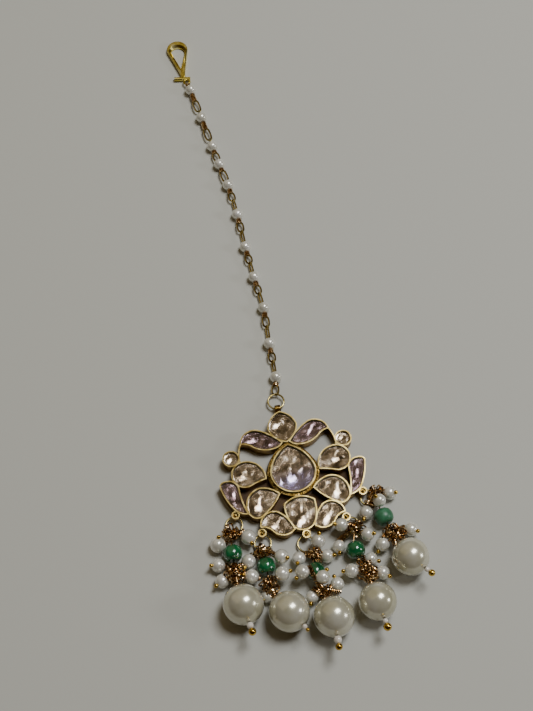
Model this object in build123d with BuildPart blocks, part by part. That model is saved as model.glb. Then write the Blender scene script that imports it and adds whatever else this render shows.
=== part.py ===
from build123d import *
from math import cos, pi, radians, sin, tan
import os

# A maang tikka lying face up, in millimetres with +Z up and the floor at z = 0.
# +Y runs from the pendant up the chain to the hair hook.
# The origin is on the flat back of the pendant, under its centre stone.
# Headings are in degrees from straight down the drops (-Y), positive towards +X.
# A rise is in degrees above the floor.

# ---- driving dimensions ----
FRAME_HEIGHT = 2.8
CENTRE_HEIGHT = 3.1        # the centre bezel stands a little proud
CENTRE_SHIFT = 0.2         # and was soldered a little to the right
BEZEL_WALL = 0.29
BACK_PLATE = 0.5
WEB_HEIGHT = 0.9           # solder web round the back of the centre bezel
WEB_WIDTH = 1.15
ROPE_WIDTH = 0.62          # twisted rope round the centre bezel
ROPE_HEIGHT = 2.3
STONE_GAP = 0.04
STONE_BEVEL = 0.25         # height of a stone's sloping edge
STONE_SLOPE = 35           # the sloping edge's lean, in degrees from upright
STONE_DROP = 0.1           # how far a stone's table lies below its rim

EYELET_RADIUS = 0.95
EYELET_HOLE = 0.68
EYELET_FLOOR = 1.75
EYELET_CUP = 2.05
EYELET_TOP = 2.6
POST_RADIUS = 0.25
POST_HEIGHT = 1.9          # a post joins an eyelet just under its cup
GRANULE_RADIUS = 0.32
GRANULE_HEIGHT = 2.3
STAPLE_RADIUS = 0.68
STAPLE_MIDDLE = 1.05
STAPLE_WIRE = 0.2

RING_RADIUS = 1.88         # jump rings, to the middle of the wire
RING_WIRE = 0.225
RING_HEIGHT = 0.95
TOP_RING_HEIGHT = 1.2
BAIL_OUTER = 0.95
BAIL_INNER = 0.57
BAIL_WIDTH = 1.3
BAIL_AWAY = 1.4            # the bail's middle, past the crown's tip
BAIL_NECK = 0.42           # radius of the solder between the two
BAIL_OVERLAP = 0.3         # how far that solder runs into the bail
RING_PLAY = 0.1            # the top ring hangs this far off the bail's middle

PIN_WIRE = 0.17
LOOP_WIRE = 0.2
BEND_RADIUS = 0.3
BEND_SHARE = 0.45          # share of the shorter run that a bend may take up
LOOP_RADIUS = 0.65         # loops on the jump rings
LINK_RADIUS = 0.48         # the two linked loops below a green bead
LINK_PLAY = 0.08           # between a green bead and the loop below it
SMALL_BALL = 0.48          # the ball at the head of a small pearl's pin
BALL_SEAT = 0.6            # share of that ball that stands out of its pearl
PIN_LEAD = 0.4             # straight pin between a pearl and its first bend
BEAD_LEAD = 0.3
BIG_LEAD = 0.35
KNOT_RADIUS = 1.05
KNOT_HALF = 0.85
KNOT_SIDES = 8
SEED_GAP = 0.05
BORE_RADIUS = 0.3
RONDELLE_RADIUS = 2.2
RONDELLE_HALF = 1.7
RONDELLE_SLOPE = (0.7, 1.0)  # how far a rondelle's edge slopes in, across and along

CHAIN_WIRE = 0.5           # half the width of the chain's small links
CHAIN_PEARL = 1.15
CHAIN_LOOP_LEAD = 0.1      # from the chain's end to the edge of its loop
CHAIN_BEND = 1000          # the chain's bends are as wide as their runs allow

HOOK_THICKNESS = 1.3
HOOK_EASE = 0.3            # rounding of the hook's upper outer edge
HOOK_BAR = 0.55
HOOK_BAR_HEIGHT = 0.65
HOOK_EYE = 0.78
HOOK_EYE_WIRE = 0.25


# ---- the pendant's outlines ----
# Each outline follows the middle of a bezel wall. Its points are taken in turn:
# a corner or joint, then a point that the arc to the next joint passes through.
CENTRE_LINE = [(0, 6.5), (3.45, 3.85), (5.2, 0), (0, -5.2), (-5.2, 0), (-3.45, 3.85)]
CROWN_LINE = [
    (0, 15.1), (2.4, 13.5), (3.4, 11.2), (2.45, 9.1), (0.2, 7.3), (-2.35, 9.0), (-3.4, 11.2), (-2.4, 13.5),
]
SHIELD_LINE = [
    (-3.5, -7.75), (0, -6.35), (3.5, -7.75), (3.35, -10.6), (2.5, -13.0), (0, -14.35),
    (-2.5, -13.0), (-3.35, -10.6),
]
# the outlines of the right half, which the left half mirrors
PAIRED_LINES = {
    "leaf": [
        (0.9, 7.35), (3.3, 9.75), (6.1, 11.5), (8.85, 11.2), (10.5, 8.8), (9.1, 8.5), (7.9, 7.7),
        (5.6, 6.4), (3.0, 6.2), (1.8, 6.55),
    ],
    "shoulder": [
        (6.3, -0.7), (7.15, 2.6), (10.3, 4.3), (13.3, 3.0), (13.4, -0.4), (12.0, -1.65),
        (10.1, -1.75), (8.3, -1.1),
    ],
    "wing": [
        (11.9, -8.2), (12.65, -5.2), (12.9, -1.9), (13.75, -0.15), (15.4, 0.35), (16.4, 0.2), (17.0, -0.4),
        (16.2, -3.7), (14.5, -6.9), (13.4, -7.75),
    ],
    "drop": [
        (4.0, -4.9), (6.0, -3.3), (8.4, -2.75), (11.1, -4.4), (11.9, -7.2), (11.2, -9.0),
        (9.5, -9.7), (6.75, -7.95),
    ],
    "foot": [
        (2.35, -13.75), (3.4, -11.1), (5.3, -9.1), (7.9, -9.05), (9.7, -11.9), (8.2, -12.3), (7.1, -13.35),
        (5.0, -14.65),
    ],
}
# the back sheet under the right half's lower windows
SHEET_LINE = [
    (0, -4.0), (6.3, -0.7), (10.1, -1.2), (12.95, -1.2), (12.75, -5.2), (9.5, -6.5),
    (8.0, -8.8), (5.3, -10.2), (3.0, -12.0), (0, -12.0),
]
DOT_CENTRE = (13.3, 5.65)
DOT_RADIUS = 1.85
STEM_LINE = [(10.4, 8.9), (11.2, 7.0), (11.3, 4.0)]

# ---- the five drops, from the left ----
# eyelet and post: where the eyelet's middle and its post's foot stand
# ring: the heading in which the jump ring lies from its eyelet
# knot, rondelle, foot: the upper wire knot, the green bead and the lower wire knot
# pearl, radius, tip: the big pearl's middle and size, and its pin's heading and rise
# seed, end: radii of the seed bead and of the ball at the end of that pin
# upper, lower: small pearls as x, y, z, radius, and the heading and rise of the pin's ball end
DROPS = {
    "a": {
        "eyelet": (-14.8, -7.9), "post": (-13.75, -7.78), "ring": -22,
        "knot": (-16.95, -12.7, 2.3), "rondelle": (-17.1, -16.6, 2.7), "foot": (-17.5, -21.0, 3.0),
        "pearl": (-17.05, -28.85, 4.5), "radius": 4.5, "tip": (6, 16), "seed": 0.78, "end": 0.9,
        "upper": [(-19.95, -13.75, 1.85, 1.8, 161, 50), (-12.95, -13.45, 2.35, 1.75, 15, 23)],
        "lower": [
            (-20.75, -18.3, 1.65, 1.62, -88, 35), (-20.5, -22.0, 1.65, 1.62, -59, 17),
            (-14.0, -19.15, 3.0, 1.62, -41, 16), (-13.95, -22.7, 3.15, 1.62, -112, 6),
        ],
    },
    "b": {
        "eyelet": (-9.7, -13.2), "post": (-9.0, -12.1), "ring": -8,
        "knot": (-10.2, -16.6, 2.3), "rondelle": (-10.35, -20.9, 2.5), "foot": (-10.4, -25.15, 3.0),
        "pearl": (-7.6, -32.3, 4.5), "radius": 4.5, "tip": (30, 18), "seed": 0.6, "end": 0.45,
        "upper": [(-6.7, -19.85, 4.1, 1.65, 52, 42)],
        "lower": [(-7.35, -23.65, 4.0, 1.65, 96, 6), (-11.2, -27.3, 1.55, 1.55, -59, 15)],
    },
    "c": {
        "eyelet": (0, -15.35), "post": (0, -14.35), "ring": -14,
        "knot": (0.45, -20.1, 2.3), "rondelle": (0.15, -24.15, 2.3), "foot": (0.5, -28.5, 3.2),
        "pearl": (1.66, -35.35, 4.5), "radius": 4.5, "tip": (-5, 14), "seed": 0.9, "end": 0.82,
        "upper": [
            (-2.85, -20.5, 2.2, 1.55, -26, 37), (2.1, -17.7, 3.2, 1.6, 160, 42),
            (3.45, -21.0, 1.65, 1.55, 77, 29),
        ],
        "lower": [
            (-2.95, -24.3, 4.65, 1.6, -58, -16), (1.15, -26.5, 5.25, 1.55, 139, 15),
            (4.1, -28.1, 3.0, 1.55, -169, 13), (-1.85, -29.6, 2.2, 1.45, -21, 18),
        ],
    },
    "d": {
        "eyelet": (9.7, -13.2), "post": (9.0, -12.1), "ring": 24,
        "knot": (10.95, -16.3, 2.3), "rondelle": (9.9, -21.25, 2.7), "foot": (11.2, -26.4, 3.2),
        "pearl": (11.75, -33.85, 4.2), "radius": 4.2, "tip": (5, 12), "seed": 0.6, "end": 0.95,
        "upper": [
            (8.0, -15.1, 3.4, 1.55, -96, 33), (13.35, -18.2, 2.6, 1.55, 72, 41),
            (6.6, -19.45, 1.65, 1.5, -9, 21),
        ],
        "lower": [
            (7.9, -25.75, 3.0, 1.6, -99, -5), (12.9, -23.7, 1.8, 1.55, 60, 10),
            (14.7, -27.35, 2.2, 1.55, 44, 20),
        ],
    },
    "e": {
        "eyelet": (14.8, -7.9), "post": (13.75, -7.78), "ring": 38,
        "knot": (17.1, -10.3, 2.3), "rondelle": (18.0, -14.9, 2.5), "foot": (18.8, -19.1, 3.0),
        "pearl": (21.25, -25.6, 4.2), "radius": 4.2, "tip": (34, 16), "seed": 0.6, "end": 0.8,
        "upper": [
            (20.8, -9.35, 1.65, 1.6, 64, 45), (17.6, -11.5, 4.4, 1.5, -129, 55),
            (14.35, -12.95, 2.0, 1.6, -30, 16),
        ],
        "lower": [(16.2, -21.0, 2.2, 1.6, -45, -18), (23.45, -18.75, 1.65, 1.6, 50, 35)],
    },
}

# ---- the chain, from the pendant's ring to the hook's eye ----
CHAIN_HEIGHT = CHAIN_PEARL
CHAIN_PEARLS = [
    (1.24, 24.7), (1.56, 33.9), (2.16, 43.9), (1.5, 53.0), (1.05, 62.1), (0.95, 72.1),
    (0.3, 81.5), (-0.75, 88.4), (-1.55, 94.4), (-2.7, 104.3), (-3.97, 114.1),
]
CHAIN_ROUTE = [
    (0.2, 21.08), CHAIN_PEARLS[0], (1.5, 29.2), *CHAIN_PEARLS[1:10], (-3.55, 110.2), (-4.29, 115.72),
]

HOOK_EYE_PLACE = (-4.45, 117.25)
HOOK_BAR_ENDS = [(-7.6, 119.2), (-3.3, 118.5)]
HOOK_ARC = [(-7.95, 128.6), (-5.0, 131.9), (-2.4, 128.2)]          # round the outside of the top
HOOK_NECK = [(-4.4, 120.6), (-4.5, 118.9), (-5.65, 118.9), (-5.75, 120.6)]
HOOK_INNER_ARC = [(-7.0, 128.7), (-5.0, 130.0), (-3.3, 127.6)]
HOOK_INNER_POINT = (-5.2, 122.4)
HOOK_EYE_STEM = (-4.3, 118.7)     # where the eye's stem meets the bar


# ---- helpers ----
UPRIGHT = Vector(0, 0, 1)
UPWARDS = (Align.CENTER, Align.CENTER, Align.MIN)


def place(flat, height):
    """A point over the floor."""
    return Vector(flat[0], flat[1], height)


def direction(heading, rise=0):
    """The unit vector of a heading and a rise."""
    level = cos(radians(rise))
    return Vector(level * sin(radians(heading)), -level * cos(radians(heading)), sin(radians(rise)))


def draw_arcs(points, mirrored=False):
    """Close a line of arcs through joints and the points between them."""
    side = -1 if mirrored else 1
    ends = [(side * x, y) for x, y in points]
    ends.append(ends[0])
    for first in range(0, len(points), 2):
        ThreePointArc(*ends[first:first + 3])


def ball(middle, along, radius):
    """A ball round a point, with its poles along a direction."""
    return Plane(origin=middle, z_dir=along) * Sphere(radius)


def wire(points, radius):
    """Wire from point to point, with a small bend at each point between."""
    if len(points) == 2:
        run = points[1] - points[0]
        return Plane(origin=points[0], z_dir=run) * Cylinder(radius, run.length, align=UPWARDS)
    with BuildPart() as bent:
        with BuildLine():
            line = FilletPolyline(*points, radius=bend_radii(points, BEND_RADIUS))
        with BuildSketch(Plane(origin=line @ 0, z_dir=line % 0)):
            Circle(radius)
        sweep()
    return bent.part


def bend_radii(points, largest):
    """The radius of each bend: within a share of its shorter run, and at most the largest."""
    runs = [end - start for start, end in zip(points, points[1:])]
    radii = []
    for before, after in zip(runs, runs[1:]):
        room = BEND_SHARE * min(before.length, after.length)
        radii.append(min(largest, room / tan(radians(before.get_angle(after) / 2))))
    return radii


def loop(middle, normal, radius, thickness):
    """A closed loop of round wire that faces along a normal."""
    return Plane(origin=middle, z_dir=normal) * Torus(radius, thickness)


def joined(name, shapes):
    """One solid made of several overlapping shapes."""
    with BuildPart() as piece:
        add(shapes)
    piece.part.label = name
    return piece.part


# ---- pendant frame ----
cups = {"crown": (CROWN_LINE, False), "shield": (SHIELD_LINE, False)}
for name, line in PAIRED_LINES.items():
    cups[name + "_right"] = (line, False)
    cups[name + "_left"] = (line, True)
dots = {"round_right": DOT_CENTRE, "round_left": (-DOT_CENTRE[0], DOT_CENTRE[1])}
centre_plane = Plane(origin=(CENTRE_SHIFT, 0, 0))

# below and on each eyelet: a granule, a post to the frame, and a staple for the jump ring
fittings = []
for drop in DROPS.values():
    fittings.append(wire([place(drop["eyelet"], POST_HEIGHT), place(drop["post"], POST_HEIGHT)], POST_RADIUS))
    fittings.append(ball(place(drop["eyelet"], GRANULE_HEIGHT), UPRIGHT, GRANULE_RADIUS))
    staple_normal = direction(drop["ring"]).cross(UPRIGHT)
    fittings.append(loop(place(drop["eyelet"], STAPLE_MIDDLE), staple_normal, STAPLE_RADIUS, STAPLE_WIRE))
# the solder between the crown's tip and the bail
crown_tip = CROWN_LINE[0][1]
bail_y = crown_tip + BAIL_AWAY
bail_edge = bail_y - BAIL_OUTER + BAIL_OVERLAP
fittings.append(wire([Vector(0, y, TOP_RING_HEIGHT) for y in (crown_tip, bail_edge)], BAIL_NECK))


def cup_face(plane, line, mirrored, change):
    """A cup's outline, grown or shrunk from the middle of its wall."""
    with BuildSketch(plane, mode=Mode.PRIVATE) as outline:
        with BuildLine():
            draw_arcs(line, mirrored)
        make_face()
        offset(amount=change)
    return outline.sketch


with BuildPart() as pendant_frame:
    # the closed cups and their bezel walls
    for line, mirrored in cups.values():
        extrude(cup_face(Plane.XY, line, mirrored, BEZEL_WALL / 2), amount=FRAME_HEIGHT)
    with Locations(*[place(flat, 0) for flat in dots.values()]):
        Cylinder(DOT_RADIUS + BEZEL_WALL / 2, FRAME_HEIGHT, align=(Align.CENTER, Align.CENTER, Align.MIN))
    # centre bezel, rope border and solder web
    for change, height in (
        (BEZEL_WALL / 2, CENTRE_HEIGHT), (BEZEL_WALL / 2 + ROPE_WIDTH, ROPE_HEIGHT), (WEB_WIDTH, WEB_HEIGHT),
    ):
        extrude(cup_face(centre_plane, CENTRE_LINE, False, change), amount=height)
    # back sheet that closes the lower windows
    with BuildSketch():
        with BuildLine():
            Polyline(*SHEET_LINE, *[(-x, y) for x, y in SHEET_LINE[-2:0:-1]], close=True)
        make_face()
    extrude(amount=BACK_PLATE)
    # stems between the upper leaves and the shoulders
    for mirrored in (False, True):
        side = -1 if mirrored else 1
        with BuildSketch():
            with BuildLine() as stem:
                ThreePointArc(*[(side * x, y) for x, y in STEM_LINE])
            trace(line_width=BEZEL_WALL)
        extrude(amount=FRAME_HEIGHT)
    # the pockets that hold the stones
    for line, mirrored in cups.values():
        pocket = cup_face(Plane.XY.offset(BACK_PLATE), line, mirrored, -BEZEL_WALL / 2)
        extrude(pocket, amount=FRAME_HEIGHT, mode=Mode.SUBTRACT)
    pocket = cup_face(centre_plane.offset(BACK_PLATE), CENTRE_LINE, False, -BEZEL_WALL / 2)
    extrude(pocket, amount=CENTRE_HEIGHT, mode=Mode.SUBTRACT)
    with Locations(*[place(flat, BACK_PLATE) for flat in dots.values()]):
        Cylinder(
            DOT_RADIUS - BEZEL_WALL / 2, FRAME_HEIGHT,
            align=(Align.CENTER, Align.CENTER, Align.MIN), mode=Mode.SUBTRACT,
        )
    # eyelets: small round cups
    eyelets = [drop["eyelet"] for drop in DROPS.values()]
    with BuildSketch(Plane.XY.offset(EYELET_FLOOR)):
        with Locations(*eyelets):
            Circle(EYELET_RADIUS)
    extrude(amount=EYELET_TOP - EYELET_FLOOR)
    with BuildSketch(Plane.XY.offset(EYELET_CUP)):
        with Locations(*eyelets):
            Circle(EYELET_HOLE)
    extrude(amount=EYELET_TOP - EYELET_CUP, mode=Mode.SUBTRACT)
    # bail at the crown's tip
    bail_plane = Plane.YZ.offset(-BAIL_WIDTH / 2)
    with BuildSketch(bail_plane):
        with Locations((bail_y, TOP_RING_HEIGHT)):
            Circle(BAIL_OUTER)
            Circle(BAIL_INNER, mode=Mode.SUBTRACT)
    extrude(amount=BAIL_WIDTH)
    add(fittings)

pendant_frame.part.label = "pendant_frame"
finished = [pendant_frame.part]


# ---- stones: flat-topped glass with a sloping edge, one in each cup ----
def cut_stone(name, line, mirrored, plane, table):
    """A stone that fills its cup's pocket up to the height of its table."""
    inset = -BEZEL_WALL / 2 - STONE_GAP
    with BuildPart() as stone:
        girdle = table - STONE_BEVEL
        bottom = BACK_PLATE + STONE_GAP
        extrude(cup_face(plane.offset(bottom), line, mirrored, inset), amount=girdle - bottom)
        extrude(cup_face(plane.offset(girdle), line, mirrored, inset), amount=STONE_BEVEL, taper=STONE_SLOPE)
    stone.part.label = name
    return stone.part


for name, (line, mirrored) in cups.items():
    finished.append(cut_stone("stone_" + name, line, mirrored, Plane.XY, FRAME_HEIGHT - STONE_DROP))
finished.append(cut_stone("stone_centre", CENTRE_LINE, False, centre_plane, CENTRE_HEIGHT - STONE_DROP))

for name, flat in dots.items():
    with BuildPart() as round_stone:
        with BuildSketch(Plane.XY.offset(BACK_PLATE + STONE_GAP)):
            with Locations(flat):
                Circle(DOT_RADIUS - BEZEL_WALL / 2 - STONE_GAP)
        extrude(amount=FRAME_HEIGHT - STONE_DROP - BACK_PLATE - STONE_GAP)
        chamfer(round_stone.faces().sort_by(Axis.Z)[-1].edges(), STONE_BEVEL)
    round_stone.part.label = "stone_" + name
    finished.append(round_stone.part)


# ---- the drops ----
def jump_ring(name, middle):
    """A closed ring of round wire lying flat."""
    return joined(name, [loop(middle, UPRIGHT, RING_RADIUS, RING_WIRE)])


def headed_pearls(rows, knot):
    """Small pearls on headed pins, whose other ends are wound on the knot."""
    shapes = []
    for x, y, z, radius, heading, rise in rows:
        middle = Vector(x, y, z)
        outwards = direction(heading, rise)
        head = middle + outwards * (radius + SMALL_BALL * BALL_SEAT)
        shapes.append(wire([head, middle - outwards * (radius + PIN_LEAD), knot], PIN_WIRE))
        shapes += [ball(middle, outwards, radius), ball(head, outwards, SMALL_BALL)]
    return shapes


def wound_knot(middle, along):
    """A tight winding of wire, as a plain eight-sided barrel."""
    section = Plane(origin=middle, z_dir=along) * RegularPolygon(KNOT_RADIUS, KNOT_SIDES)
    return extrude(section, amount=KNOT_HALF, both=True)


def drilled_bead(name, middle, along, radius):
    """A round bead drilled along its pin."""
    with BuildPart() as bead:
        with Locations(Plane(origin=middle, z_dir=along)):
            Sphere(radius)
            Cylinder(BORE_RADIUS, 2 * (radius + BORE_RADIUS), mode=Mode.SUBTRACT)
    bead.part.label = name
    return bead.part


for letter, drop in DROPS.items():
    knot, rondelle, foot, pearl = (Vector(*drop[key]) for key in ("knot", "rondelle", "foot", "pearl"))
    bead_way = (foot - knot).normalized()
    bead_side = bead_way.cross(UPRIGHT)
    tip_way = direction(*drop["tip"])
    ring_middle = place(drop["eyelet"], RING_HEIGHT) + direction(drop["ring"]) * RING_RADIUS
    finished.append(jump_ring(f"drop_{letter}_ring", ring_middle))

    # upper cluster: the loop on the jump ring, the knot, and the pin through the green bead
    hang_way = (place((knot.X, knot.Y), RING_HEIGHT) - ring_middle).normalized()
    hang = ring_middle + hang_way * RING_RADIUS
    bead_top = rondelle - bead_way * (RONDELLE_HALF + BEAD_LEAD)
    link = rondelle + bead_way * (RONDELLE_HALF + LINK_RADIUS + LOOP_WIRE + LINK_PLAY)
    finished.append(joined(f"drop_{letter}_upper_cluster", [
        wound_knot(knot, bead_way),
        loop(hang, hang_way.cross(UPRIGHT), LOOP_RADIUS, LOOP_WIRE),
        wire([hang + (knot - hang).normalized() * LOOP_RADIUS, knot], PIN_WIRE),
        wire([knot, bead_top, link - bead_way * LINK_RADIUS], PIN_WIRE),
        loop(link, bead_side, LINK_RADIUS, LOOP_WIRE),
        *headed_pearls(drop["upper"], knot),
    ]))

    # the green rondelle, a turned profile
    across, along = RONDELLE_SLOPE
    with BuildPart() as rondelle_bead:
        with BuildSketch(Plane(origin=rondelle, x_dir=bead_side, z_dir=bead_side.cross(bead_way))):
            with BuildLine():
                Polyline(
                    (BORE_RADIUS, -RONDELLE_HALF), (RONDELLE_RADIUS - across, -RONDELLE_HALF),
                    (RONDELLE_RADIUS, along - RONDELLE_HALF), (RONDELLE_RADIUS, RONDELLE_HALF - along),
                    (RONDELLE_RADIUS - across, RONDELLE_HALF), (BORE_RADIUS, RONDELLE_HALF), close=True,
                )
            make_face()
        revolve(axis=Axis(rondelle, bead_way))
    rondelle_bead.part.label = f"drop_{letter}_green_bead"
    finished.append(rondelle_bead.part)

    # lower cluster: a loop through the bead pin's loop, the knot, and the pearl's headed pin
    pearl_top = pearl - tip_way * (drop["radius"] + BIG_LEAD)
    seed = pearl + tip_way * (drop["radius"] + drop["seed"] + SEED_GAP)
    end_ball = seed + tip_way * (drop["seed"] + drop["end"])
    finished.append(joined(f"drop_{letter}_lower_cluster", [
        wound_knot(foot, bead_way),
        loop(link + bead_way * LINK_RADIUS, bead_way.cross(bead_side), LINK_RADIUS, LOOP_WIRE),
        wire([link + bead_way * (2 * LINK_RADIUS), foot], PIN_WIRE),
        wire([foot, pearl_top, end_ball], PIN_WIRE),
        ball(end_ball, tip_way, drop["end"]),
        *headed_pearls(drop["lower"], foot),
    ]))
    finished.append(drilled_bead(f"drop_{letter}_big_pearl", pearl, tip_way, drop["radius"]))
    finished.append(drilled_bead(f"drop_{letter}_seed_bead", seed, tip_way, drop["seed"]))

# ---- chain, ring and hair hook ----
top_ring_middle = Vector(0, bail_y + RING_RADIUS + RING_PLAY, TOP_RING_HEIGHT)
finished.append(jump_ring("pendant_ring", top_ring_middle))

route = [place(flat, CHAIN_HEIGHT) for flat in CHAIN_ROUTE]
radii = bend_radii(route, CHAIN_BEND)
print("chain bend radii:", [round(radius, 1) for radius in radii])
with BuildPart() as chain_tube:
    with BuildLine():
        thread = FilletPolyline(*route, radius=radii)
    with BuildSketch(Plane(origin=thread @ 0, z_dir=thread % 0)):
        Circle(CHAIN_WIRE)
    sweep()
print("chain tube volume", round(chain_tube.part.volume, 2), "section times length",
      round(pi * CHAIN_WIRE ** 2 * thread.length, 2))
chain = [chain_tube.part] + [ball(place(flat, CHAIN_HEIGHT), UPRIGHT, CHAIN_PEARL) for flat in CHAIN_PEARLS]
for end, inner in ((route[0], route[1]), (route[-1], route[-2])):
    outwards = (end - inner).normalized()
    loop_middle = end + outwards * (LOOP_RADIUS + CHAIN_LOOP_LEAD)
    chain.append(loop(loop_middle, outwards.cross(UPRIGHT), LOOP_RADIUS, LOOP_WIRE))
finished.append(joined("pearl_chain", chain))

# the hook: a cross bar with a fused eye, and a teardrop loop that is broad at its top
eye = place(HOOK_EYE_PLACE, CHAIN_HEIGHT)
hook_wires = [
    wire([place(flat, HOOK_BAR_HEIGHT) for flat in HOOK_BAR_ENDS], HOOK_BAR),
    loop(eye, UPRIGHT, HOOK_EYE, HOOK_EYE_WIRE),
    wire([eye + Vector(0, HOOK_EYE, 0), place(HOOK_EYE_STEM, HOOK_BAR_HEIGHT)], PIN_WIRE),
]
with BuildPart() as hair_hook:
    with BuildSketch():
        with BuildLine():
            ThreePointArc(*HOOK_ARC)
            Polyline(HOOK_ARC[2], *HOOK_NECK, HOOK_ARC[0])
        make_face()
    extrude(amount=HOOK_THICKNESS)
    fillet(hair_hook.faces().sort_by(Axis.Z)[-1].edges(), HOOK_EASE)
    with BuildSketch():
        with BuildLine():
            ThreePointArc(*HOOK_INNER_ARC)
            Polyline(HOOK_INNER_ARC[2], HOOK_INNER_POINT, HOOK_INNER_ARC[0])
        make_face()
    extrude(amount=HOOK_THICKNESS, mode=Mode.SUBTRACT)
    add(hook_wires)
hair_hook.part.label = "hair_hook"
finished.append(hair_hook.part)

os.makedirs("parts", exist_ok=True)
for part in finished:
    export_step(part, f"parts/{part.label}.step")
print(len(finished), "parts written")
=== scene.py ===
import bpy
import bmesh
import math
import random
from mathutils import Matrix, Vector, noise


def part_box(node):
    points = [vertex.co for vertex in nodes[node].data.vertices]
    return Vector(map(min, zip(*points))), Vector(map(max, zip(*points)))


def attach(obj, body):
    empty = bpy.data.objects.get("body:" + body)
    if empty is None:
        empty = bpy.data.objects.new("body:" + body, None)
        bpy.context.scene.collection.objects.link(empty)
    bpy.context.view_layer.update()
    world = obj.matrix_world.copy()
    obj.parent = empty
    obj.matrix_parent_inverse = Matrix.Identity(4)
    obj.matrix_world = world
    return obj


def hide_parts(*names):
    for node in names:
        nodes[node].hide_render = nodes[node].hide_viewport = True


# A maang tikka lying face up on a pale floor. Shapes are worked in millimetres
# and each finished piece is brought to metres.
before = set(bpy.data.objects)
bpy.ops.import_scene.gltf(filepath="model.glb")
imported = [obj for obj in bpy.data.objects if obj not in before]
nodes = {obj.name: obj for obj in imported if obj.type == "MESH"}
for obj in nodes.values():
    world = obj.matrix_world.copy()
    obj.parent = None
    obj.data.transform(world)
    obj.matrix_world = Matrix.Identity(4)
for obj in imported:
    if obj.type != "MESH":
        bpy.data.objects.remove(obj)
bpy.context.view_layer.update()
random.seed(7)
toMetres = 0.001

# camera
cameraSetup = {
    "place": (-0.02565, -0.09627, 0.26155),
    "turn": (26.5, 0, -11.5),        # degrees
    "lens": 60.76,
    "nearest": 0.01,
}
camera = bpy.data.objects.new("camera", bpy.data.cameras.new("camera"))
camera.location = cameraSetup["place"]
camera.rotation_euler = [math.radians(angle) for angle in cameraSetup["turn"]]
camera.data.lens = cameraSetup["lens"]
camera.data.clip_start = cameraSetup["nearest"]
bpy.context.scene.collection.objects.link(camera)
bpy.context.scene.camera = camera
print("camera set")


def linear(code):  # an sRGB hex value as the linear colour that a shader takes
    parts = [int(code[i:i + 2], 16) / 255 for i in (1, 3, 5)]
    return [p / 12.92 if p <= 0.04045 else ((p + 0.055) / 1.055) ** 2.4 for p in parts] + [1]


def addNode(tree, kind, settings={}, values={}, links={}):
    node = tree.nodes.new(kind)
    for name, value in settings.items():
        setattr(node, name, value)
    for name, value in values.items():
        node.inputs[name].default_value = value
    for name, source in links.items():
        tree.links.new(source, node.inputs[name])
    return node


# lights: a window nearly overhead, a small one low on the right and a pale far wall, in a dim brown room
lightSetup = {
    "window": {
        "towards": (0.34, 0.2, 0.92), "distance": 0.9, "size": (0.27, 0.36), "watts": 5.7,
        "colour": "#fafcff"},
    "sideWindow": {
        "towards": (0.874, -0.218, 0.438), "distance": 0.8, "size": (0.15, 0.15), "watts": 0.9,
        "colour": "#fbfcff"},
    "farWall": {
        "towards": (-0.2, 0.64, 0.74), "distance": 0.8, "size": (1.3, 1.0), "watts": 1.2,
        "colour": "#f1e0b8"},
}
roomLight = {"colour": "#b98a3c", "strength": 0.07}
for name, light in lightSetup.items():
    data = bpy.data.lights.new(name, "AREA")
    data.shape = "RECTANGLE"
    data.size, data.size_y = light["size"]
    data.energy = light["watts"]
    data.color = linear(light["colour"])[:3]
    lamp = bpy.data.objects.new(name, data)
    away = Vector(light["towards"]).normalized()
    lamp.location = away * light["distance"]
    lamp.rotation_euler = away.to_track_quat("Z", "Y").to_euler()
    bpy.context.scene.collection.objects.link(lamp)
world = bpy.data.worlds.new("room")
world.use_nodes = True
bpy.context.scene.world = world
room = world.node_tree.nodes["Background"]
room.inputs["Color"].default_value = linear(roomLight["colour"])
room.inputs["Strength"].default_value = roomLight["strength"]
print("lights set")


# materials
def newMaterial(name, values):
    material = bpy.data.materials.new(name)
    material.use_nodes = True
    shader = material.node_tree.nodes["Principled BSDF"]
    for socket, value in values.items():
        shader.inputs[socket].default_value = value
    return material, material.node_tree, shader


patternSetup = {"darkAt": 0.3, "middleAt": 0.5, "paleAt": 0.7, "detail": 3.0, "bumpDetail": 2.0}


def patterned(name, values, colours, grain, roughness=None, bump=None, detail=patternSetup["detail"]):
    # a noise of the given grain in mm runs through two or more colours. It can move the roughness
    # too, and a finer one, given as its grain, depth in mm and strength, the surface.
    material, tree, shader = newMaterial(name, values)
    place = addNode(tree, "ShaderNodeTexCoord")
    pattern = addNode(tree, "ShaderNodeTexNoise", values={"Scale": 1 / (grain * toMetres), "Detail": detail},
                      links={"Vector": place.outputs["Object"]})
    ramp = addNode(tree, "ShaderNodeValToRGB", links={"Fac": pattern.outputs["Fac"]})
    stops = ramp.color_ramp.elements
    stops[0].position, stops[1].position = patternSetup["darkAt"], patternSetup["paleAt"]
    stops[0].color, stops[1].color = linear(colours[0]), linear(colours[-1])
    for colour in colours[1:-1]:
        stops.new(patternSetup["middleAt"]).color = linear(colour)
    tree.links.new(ramp.outputs["Color"], shader.inputs["Base Color"])
    if roughness:
        rough = addNode(tree, "ShaderNodeMapRange", values={"To Min": roughness[0], "To Max": roughness[1]},
                        links={"Value": pattern.outputs["Fac"]})
        tree.links.new(rough.outputs["Result"], shader.inputs["Roughness"])
    if bump:
        bumpGrain, depth, strength = bump
        fine = addNode(tree, "ShaderNodeTexNoise", links={"Vector": place.outputs["Object"]},
                       values={"Scale": 1 / (bumpGrain * toMetres), "Detail": patternSetup["bumpDetail"]})
        relief = addNode(tree, "ShaderNodeBump", values={"Strength": strength, "Distance": depth * toMetres},
                         links={"Height": fine.outputs["Fac"]})
        tree.links.new(relief.outputs["Normal"], shader.inputs["Normal"])
    return material


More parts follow.
